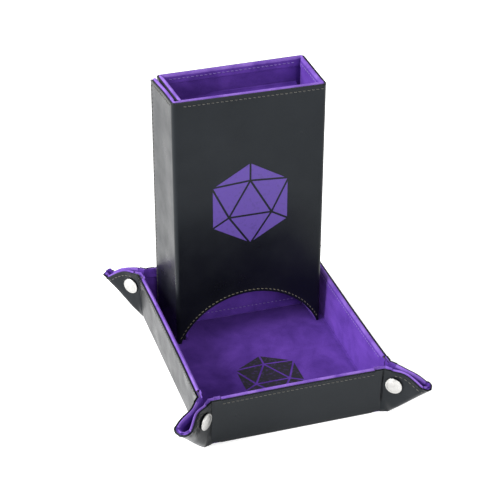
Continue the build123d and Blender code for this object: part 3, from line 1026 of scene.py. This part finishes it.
def leaf_lining(low, top, thick, lip, on_wall, shape):
    """The velvet face of one column of a leaf, from the rim's hem down to the floor."""
    height = max(top[1] - low[1], 0.1 * MM)
    turned = [(1 - min(-z / height, 0.8 + 0.02 * i), -n) for i, (n, z) in enumerate(hem(thick))]
    below = turned[-1][0] - 0.02
    turned += [(below * (1 - i / 11), thick) for i in range(12)]
    points = []
    for share, depth in turned:
        u, v = between(low, top, share)
        if on_wall:
            v = max(v, FLOOR_Z - 0.6 * MM)
        points.append(pinched(u, v, shape) - sheet_normal(u, v, shape) * depth)
    last = points[-1]
    if on_wall:
        last = last + lip_way(lip) * LIP * lip - UP * 0.4 * MM
    return points + [last]


def leaf_columns(shape):
    """Columns of the front wall's leaf at the front right corner, from the wall to the tip."""
    places = [(-OVERLAP + (OVERLAP + LEAF_INSET) * i / 16, None) for i in range(16)]
    places += [(None, i / 26) for i in range(27)]
    columns, kinds = [], None
    for u_wall, t in places:
        low, top, thick, lip = leaf_ends(u_wall, t, shape)
        leather = leaf_leather(low, top, lip, t is None, shape)
        over, over_kinds = leaf_rim(top, t, thick, shape)
        lining = leaf_lining(low, top, thick, lip, t is None, shape)
        columns.append(leather + over + lining)
        kinds = [0] * len(leather)
        kinds += over_kinds
        kinds += [1] * len(lining)
    return columns, kinds


def mirror_points(points, corner, kind):
    """Points built for the front right corner's end leaf, mirrored to another corner and leaf."""
    if kind == "side":
        points = [Vector((HALF_W - (p.y + HALF_L), -HALF_L - (p.x - HALF_W), p.z)) for p in points]
    flip_x = -1 if corner[1] == "l" else 1
    flip_y = -1 if corner[0] == "b" else 1
    return [Vector((p.x * flip_x, p.y * flip_y, p.z)) for p in points]


def mirror_path(path, corner, kind):
    points = mirror_points([p for p, _ in path], corner, kind)
    tips = mirror_points([p + n for p, n in path], corner, kind)
    return [(p, (t - p).normalized()) for p, t in zip(points, tips)]


def snap_half(name, corner, kind, half, centre, outward):
    """Domed cap with a rolled edge, its post, and the socket or stud behind the leaf."""
    bm = bmesh.new()
    cap = ((5.55, 0.02), (5.95, 0.12), (6.15, 0.45), (6.05, 0.85), (5.7, 1.08), (5.3, 1.06), (5.05, 0.98))
    dome = tuple((5.05 * cos(t * pi / 2), 0.98 + 0.62 * sin(t * pi / 2)) for t in (0.25, 0.5, 0.75, 0.93))
    lathe(bm, centre, outward, cap + dome, turns=56)
    post = ((1.4, 0.0), (1.4, -LEAF_T / MM - 0.2))
    lathe(bm, centre, outward, post, turns=20)
    back = centre - outward * LEAF_T
    if half == "socket":
        outside = ((2.7, 0.0), (4.2, 0.0), (4.4, -0.35), (4.35, -1.1), (4.1, -1.38))
        inside = ((3.2, -1.4), (2.9, -1.2), (2.7, -0.9))
        lathe_ring(bm, back, outward, outside + inside)
    else:
        stud = ((4.0, 0.0), (4.0, -0.25), (2.4, -0.32), (1.95, -0.6), (2.1, -1.3))
        stud += ((1.85, -1.65), (1.1, -1.72))
        lathe(bm, back, outward, stud)
    piece = finish_mesh(name, bm, (METAL,), sharp=50)
    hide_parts(f"snap_{corner}_{half}")
    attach(piece, f"leaf_{corner}_{kind}")


def corner_leaf(corner, kind, shape):
    """One leaf of a corner with its stitches and its half of the snap."""
    columns, kinds = leaf_columns(shape)
    columns = [mirror_points(column, corner, kind) for column in columns]
    piece = loft(f"leaf_{corner}_{kind}_laminate", columns, kinds, LAMINATE, closed=True, caps=False)
    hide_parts(f"corner_{corner}_{kind}_leaf")
    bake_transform(piece)
    path = [rim_place(0.95 * i / 24, shape.tip_r, STITCH_IN) for i in range(1, 25)]
    row = [(pinched(u, v, shape), sheet_normal(u, v, shape)) for u, v in path]
    row = mirror_path(row, corner, kind)
    sew(f"leaf_{corner}_{kind}_stitches", [row], DARK_THREAD, f"leaf_{corner}_{kind}")
    centre = pinched(SNAP_U, SNAP_V, shape)
    normal = sheet_normal(SNAP_U, SNAP_V, shape)
    (centre, outward), = mirror_path([(centre, normal)], corner, kind)
    socketed = "end" if corner[0] == "f" else "side"
    half = "socket" if kind == socketed else "stud"
    snap_half(f"snap_{corner}_{half}_visual", corner, kind, half, centre, outward)


# ================================================================ base, floor, baffles and strips
def slab(name, low, high, corner_r, edge_r, material, grid=(26, 34), uneven=0.0):
    """A flat rounded slab: gently uneven on top, with rolled edges and rounded corners."""
    bm = bmesh.new()
    nx, ny = grid
    tops, bottoms = [], []
    size = Vector((high.x - low.x, high.y - low.y))
    for i in range(nx + 1):
        top_row, bottom_row = [], []
        for j in range(ny + 1):
            s, t = 0.5 - 0.5 * cos(pi * i / nx), 0.5 - 0.5 * cos(pi * j / ny)
            s, t = 0.65 * i / nx + 0.35 * s, 0.65 * j / ny + 0.35 * t
            x, y = (s - 0.5) * size.x, (t - 0.5) * size.y
            dx, dy = abs(x) - (size.x / 2 - corner_r), abs(y) - (size.y / 2 - corner_r)
            if dx > 0 and dy > 0 and hypot(dx, dy) > corner_r:
                pull = corner_r / hypot(dx, dy)
                x = (size.x / 2 - corner_r + dx * pull) * (1 if x > 0 else -1)
                y = (size.y / 2 - corner_r + dy * pull) * (1 if y > 0 else -1)
                dx, dy = dx * pull, dy * pull
            edge = min(size.x / 2 - abs(x), size.y / 2 - abs(y))
            if dx > 0 and dy > 0:
                edge = corner_r - hypot(dx, dy)
            roll = edge_r - sqrt(max(edge_r**2 - max(edge_r - edge, 0.0) ** 2, 0.0))
            place = Vector(((low.x + high.x) / 2 + x, (low.y + high.y) / 2 + y, high.z))
            wave = ripple(place, 26 * MM, uneven) * smooth(edge / (8 * MM))
            top_row.append(bm.verts.new(place - UP * roll + UP * wave))
            bottom_row.append(bm.verts.new(Vector((place.x, place.y, low.z))))
        tops.append(top_row)
        bottoms.append(bottom_row)
    add_grid(bm, tops)
    add_grid(bm, bottoms)
    add_border(bm, tops, bottoms, border(nx, ny))
    return finish_mesh(name, bm, (material,), sharp=60)


def tray_base():
    """Leather under the base and the velvet floor between the walls."""
    inset = BASE_R + 0.6 * MM
    low = Vector((-HALF_W + inset, -HALF_L + inset, 0.02 * MM))
    high = Vector((HALF_W - inset, HALF_L - inset, base_high.z))
    under = slab("base_leather", low, high, 2.5 * MM, 0.2 * MM, LEATHER)
    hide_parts("tray_base_skin")
    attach(under, "tray_base")
    low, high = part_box("tray_base_lining")
    spare = 0.25 * MM
    low, high = low - Vector((spare, spare, 0)), high + Vector((spare, spare, 0))
    floor = slab("floor_velvet", low, high, 1.5 * MM, 1.0 * MM, VELVET, grid=(40, 52), uneven=0.06 * MM)
    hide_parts("tray_base_lining")
    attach(floor, "tray_base")
    for corner in CORNERS:
        inner = BASE_CORNER + Vector((-WEB, WEB, 0.8 * MM))
        outer = BASE_CORNER + Vector((-0.6 * MM, 0.6 * MM, 2.2 * MM))
        spots = mirror_points([inner, outer], corner, "end")
        low = Vector([min(a, b) for a, b in zip(*spots)])
        high = Vector([max(a, b) for a, b in zip(*spots)])
        web = slab(f"web_{corner}", low, high, 1.0 * MM, 0.4 * MM, VELVET, grid=(10, 10))
        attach(web, "tray_base")


@dataclass
class Board:
    """Where a covered board lies: its sides, its hinge, its run to the toe and its upper face."""
    low_x: float
    high_x: float
    hinge: Vector
    run: Vector
    normal: Vector


BOARD_EDGE_R = 2.2 * MM     # rounding of a covered board's corners
BOARD_SIDES = 36            # points round a covered board's section


def lay_board(name, hinge_joint):
    """The board that hangs on a hinge joint, from its box and the joint's place."""
    low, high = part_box(f"{name}_cover")
    pos = JOINTS[hinge_joint]["pos_m"]
    hinge = Vector((0, pos[1], pos[2]))
    half = BOARD_T / 2
    far_y = low.y + half if hinge.y - low.y > high.y - hinge.y else high.y - half
    run = Vector((0, far_y, low.z + half)) - hinge
    normal = Vector((1, 0, 0)).cross(run.normalized())
    if normal.z < 0:
        normal = -normal
    return Board(low.x, high.x, hinge, run, normal)


def board_column(board, x):
    """One closed section of a covered board, slimmer at its sides and fuller at its toe."""
    half, half_run = BOARD_T / 2, board.run.length / 2
    along = board.run.normalized()
    edge = min(x - board.low_x, board.high_x - x)
    in_corner = max(BOARD_EDGE_R - edge, 0.0)
    pull = BOARD_EDGE_R - sqrt(max(BOARD_EDGE_R**2 - in_corner**2, 0.0))
    slim = half * (0.35 + 0.65 * smooth((edge + 0.4 * MM) / BOARD_EDGE_R))
    reach = half_run + half - pull
    middle = Vector((x, 0, 0)) + board.hinge + board.run / 2
    column = []
    for k in range(BOARD_SIDES):
        turn = 2 * pi * k / BOARD_SIDES
        c = half_run * max(-1.0, min(1.0, 1.25 * cos(turn)))
        c += (half - pull) * max(0.0, abs(cos(turn)) - 0.8) / 0.2 * (1 if cos(turn) > 0 else -1)
        c = max(-reach, min(reach, c))
        bulge = min(1.0, abs(sin(turn)) / 0.6) ** 0.5
        h = slim * bulge * (1 if sin(turn) > 0 else -1)
        to_toe = half_run - c
        if h > 0:
            h += TOE_ROLL * exp(-((to_toe / (1.6 * MM)) ** 2))
        else:
            h *= 1 - 0.85 * smooth(1 - to_toe / (1.2 * MM))
        point = middle + along * c + board.normal * h
        column.append(point + board.normal * ripple(point, 18 * MM, 0.06 * MM))
    return column


def board_rows(board):
    """Stitch rows across a covered board, near its hinge and near its toe."""
    width = board.high_x - board.low_x
    lift = board.normal * (BOARD_T / 2 - 0.12 * MM)
    paths = []
    for share in (3.0 * MM / board.run.length, 1 - 3.4 * MM / board.run.length):
        path = []
        for i in range(13):
            x = board.low_x + 4 * MM + (width - 8 * MM) * i / 12
            path.append((Vector((x, 0, 0)) + board.hinge + board.run * share + lift, board.normal))
        paths.append(path)
    return paths


def hinge_cloth(name, board):
    """The cloth hinge: velvet from the panel behind the hinge onto the board's upper face."""
    hinge, normal, along = board.hinge, board.normal, board.run.normalized()
    into = 1 if board.run.y < 0 else -1
    wall_y = hinge.y + into * 2.0 * MM
    width = board.high_x - board.low_x
    columns = []
    for i in range(25):
        x = board.low_x + 1.5 * MM + (width - 3 * MM) * i / 24
        column = []
        for inward, z in ((0.15, 4.2), (0.45, 4.0), (0.5, 3.0), (1.2, 1.9)):
            column.append(Vector((x, wall_y - into * inward * MM, hinge.z + z * MM)))
        middle = Vector((x, 0, 0)) + hinge
        for done, proud in ((1.2, 0.35), (5.0, 0.3), (5.6, -0.1)):
            column.append(middle + along * done * MM + normal * (BOARD_T / 2 + proud * MM))
        column += [middle + along * 4.5 * MM, middle]
        column.append(Vector((x, wall_y + into * 0.3 * MM, hinge.z + 3 * MM)))
        columns.append(column)
    cloth = loft(f"{name}_hinge_cloth", columns, [0] * 10, (VELVET,), sharp=70)
    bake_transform(cloth)


def covered_board(name, hinge_joint):
    """A velvet-covered board with rounded edges and corners, and the cloth hinge that holds it."""
    board = lay_board(name, hinge_joint)
    width = board.high_x - board.low_x
    steps = 30
    columns = [board_column(board, board.low_x + width * i / steps) for i in range(steps + 1)]
    piece = loft(f"{name}_velvet", columns, [0] * BOARD_SIDES, (VELVET,), sharp=75)
    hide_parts(f"{name}_cover")
    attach(piece, name)
    sew(f"{name}_stitches", board_rows(board), PLUM_THREAD, name)
    hinge_cloth(name, board)


def strip(name, body, material, outward):
    """Hook or loop tape: a soft-edged band with a dense, uneven pile on its working face."""
    low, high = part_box(name)
    bm = bmesh.new()
    ny, nz = 24, 110
    face_x = low.x if outward < 0 else high.x
    back_x = high.x if outward < 0 else low.x
    rows, backs = [], []
    for i in range(ny + 1):
        row, back = [], []
        for j in range(nz + 1):
            y = low.y + (high.y - low.y) * i / ny
            z = low.z + (high.z - low.z) * j / nz
            edge = min(y - low.y, high.y - y, z - low.z, high.z - z)
            depth = abs(face_x - back_x) * (0.55 + 0.45 * smooth(edge / (1.6 * MM)))
            nap = 0.5 + 0.5 * noise.noise(Vector((y, z, 0.3)) * 900)
            depth -= 0.18 * MM * nap * smooth(edge / (1.2 * MM))
            row.append(bm.verts.new(skew(Vector((back_x + outward * depth, y, z)))))
            back.append(bm.verts.new(skew(Vector((back_x, y, z)))))
        rows.append(row)
        backs.append(back)
    add_grid(bm, rows)
    places = border(ny, nz)
    add_border(bm, rows, backs, places)
    bm.faces.new([backs[a][b] for a, b in reversed(places)])
    loose = [v for v in bm.verts if not v.link_faces]
    bmesh.ops.delete(bm, geom=loose, context="VERTS")
    piece = finish_mesh(f"{name}_tape", bm, (material,), sharp=60)
    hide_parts(name)
    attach(piece, body)


def dress_cad_nodes():
    """Procedural materials on the CAD nodes that stay: the boards and the two prints."""
    purple = printed("purple_ink", (0.060, 0.028, 0.200), (0.049, 0.023, 0.165), 1150.0, 0.55)
    black = printed("black_ink", (0.010, 0.008, 0.016), (0.030, 0.014, 0.075), 2000.0, 0.82)
    for name, node in frame["nodes"].items():
        if name.endswith("_board"):
            material = BOARD
        elif name == "front_emblem":
            material = purple
        elif name == "floor_emblem":
            material = black
        else:
            continue
        node.data.materials.clear()
        node.data.materials.append(material)


# ================================================================ room, light and camera
# the table's own glow: painted light that brightens the leather's reflections and washes out cast shadows
TABLE_GLOW = 0.50


def room():
    """A white table top that glows, lighting the tower from below and washing out its shadows on the table, a
    soft key light from the upper left and a wide fill.
    """
    bm = bmesh.new()
    bmesh.ops.create_grid(bm, x_segments=1, y_segments=1, size=4.0)
    s = Shader("white_table", Roughness=0.6)
    colour = s.ramp(s.noise(3.0, 2.0), (0.3, (0.90, 0.90, 0.90)), (0.7, (0.93, 0.93, 0.93)))
    s.surface.inputs["Emission Strength"].default_value = TABLE_GLOW
    table = finish_mesh("table", bm, (s.finish(Base_Color=colour, Emission_Color=colour),))
    world = bpy.data.worlds.new("studio")
    world.use_nodes = True
    world.node_tree.nodes["Background"].inputs["Color"].default_value = (1.0, 1.0, 1.0, 1.0)
    world.node_tree.nodes["Background"].inputs["Strength"].default_value = 0.8
    bpy.context.scene.world = world
    for name, place, size, power in (
        ("key", (-1.9, -0.2, 1.0), 1.3, 90.0),
        ("fill", (0.1, -2.2, 0.95), 1.2, 26.0),
    ):
        lamp = bpy.data.lights.new(name, "AREA")
        lamp.shape = "SQUARE"
        lamp.size = size
        lamp.energy = power
        light = bpy.data.objects.new(name, lamp)
        light.location = place
        light.rotation_euler = (Vector((0, 0, 0.05)) - Vector(place)).to_track_quat("-Z", "Y").to_euler()
        bpy.context.scene.collection.objects.link(light)
    bpy.context.scene.view_settings.view_transform = "Standard"


def camera():
    """A long lens from the front left, looking down."""
    lens = bpy.data.cameras.new("camera")
    lens.sensor_width = 36.0
    lens.lens = 105.6
    lens.clip_end = 20.0
    eye = bpy.data.objects.new("camera", lens)
    heading, down, lean = radians(17.91), radians(30.66), radians(0.23)
    turn = Matrix.Rotation(-heading, 4, "Z") @ Matrix.Rotation(pi / 2 - down, 4, "X")
    turn = turn @ Matrix.Rotation(lean, 4, "Z")
    eye.matrix_world = Matrix.Translation((-0.2790, -0.8423, 0.6194)) @ turn
    bpy.context.scene.collection.objects.link(eye)
    bpy.context.scene.camera = eye


tower_body()
front_panel()
outer_flap()
for panel_name in ("back", "right", "inner_flap"):
    skewed_board(panel_name, "tower")
skewed_board("outer_flap", "outer_flap")
for wall_side in ("front", "right", "back", "left"):
    tray_wall(wall_side)
for corner_name, corner_shape in CORNERS.items():
    for leaf_kind in ("end", "side"):
        corner_leaf(corner_name, leaf_kind, corner_shape)
tray_base()
covered_board("upper_baffle", "upper_baffle_fold")
covered_board("middle_baffle", "middle_baffle_fold")
covered_board("exit_ramp", "ramp_fold")
# both tapes are black; their dark red-brown colours paint the purple light that reaches them between the
# flaps
strip("hook_strip", "outer_flap", tape("hook_tape", (0.030, 0.016, 0.020), (0.075, 0.040, 0.045), 1300.0), 1)
strip("loop_strip", "tower", tape("loop_tape", (0.040, 0.020, 0.022), (0.110, 0.060, 0.062), 900.0), -1)
dress_cad_nodes()
room()
camera()
